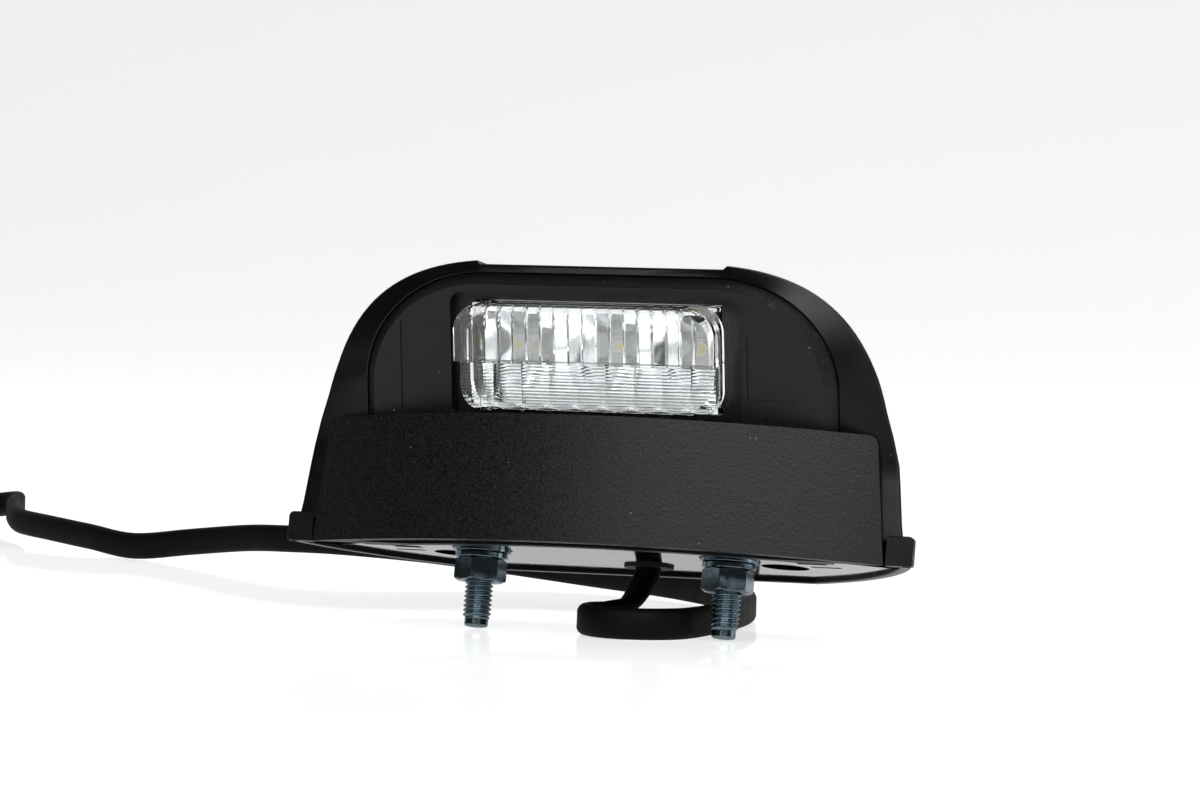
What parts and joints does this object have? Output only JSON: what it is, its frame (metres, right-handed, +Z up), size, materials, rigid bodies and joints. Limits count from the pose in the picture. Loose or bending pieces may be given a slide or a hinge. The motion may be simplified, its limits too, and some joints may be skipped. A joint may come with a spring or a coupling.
{
  "type": "number plate lamp",
  "caption": "Car number plate lamp: black hood over a housing with a clear fluted lens in its leaning face, a base plate with mounting studs and nuts, and a flat lead.",
  "frame": {"origin": "midway between the two studs, in the plane of the skirt's lower edge, which is the face that rests on the vehicle's panel", "axes": "+Z is up through the hood, the studs point along -Z, the lens looks along -Y, and X runs along the line of the two studs"},
  "size_m": [0.3486, 0.2385, 0.0637],
  "materials": {
    "hood_plastic": "satin black moulded plastic, smooth",
    "housing_plastic": "black moulded plastic with a fine spark-eroded grain",
    "clear_acrylic": "clear moulded acrylic, polished, fluted and ribbed",
    "plated_reflector": "bright vacuum-plated plastic",
    "board_laminate": "green solder mask on glass-fibre board",
    "led_phosphor": "yellow phosphor dome on a white body",
    "component_body": "black epoxy component body",
    "ferrite": "dark grey ferrite",
    "capacitor_ceramic": "tan ceramic",
    "base_plastic": "glossy black moulded plastic",
    "zinc_steel": "steel with bluish zinc plating",
    "grommet_rubber": "black rubber",
    "sealing_compound": "black sealing compound",
    "lead_sheath": "black flexible sheath, satin",
    "core_red": "red core insulation",
    "core_black": "black core insulation",
    "tie_nylon": "natural nylon"
  },
  "bodies": {
    "root": {"hood": "hood_plastic", "housing": "housing_plastic", "lens": "clear_acrylic", "reflector": "plated_reflector", "circuit_board": "board_laminate", "led_left": "led_phosphor", "led_middle": "led_phosphor", "led_right": "led_phosphor", "driver_chip": "component_body", "diode": "component_body", "inductor": "ferrite", "capacitor": "capacitor_ceramic", "base_plate": "base_plastic", "board_screw_left": "zinc_steel", "board_screw_right": "zinc_steel", "plate_screw_left": "zinc_steel", "plate_screw_right": "zinc_steel", "stud_left": "zinc_steel", "stud_right": "zinc_steel", "flat_washer_left": "zinc_steel", "flat_washer_right": "zinc_steel", "spring_washer_left": "zinc_steel", "spring_washer_right": "zinc_steel", "nut_left": "zinc_steel", "nut_right": "zinc_steel", "grommet": "grommet_rubber", "potting": "sealing_compound", "inner_sheath": "lead_sheath", "lead": "lead_sheath", "lead_coil": "lead_sheath", "lead_tail": "lead_sheath", "inner_core_plus": "core_red", "end_core_plus": "core_red", "inner_core_minus": "core_black", "end_core_minus": "core_black", "coil_tie": "tie_nylon"}
  },
  "joints": []
}
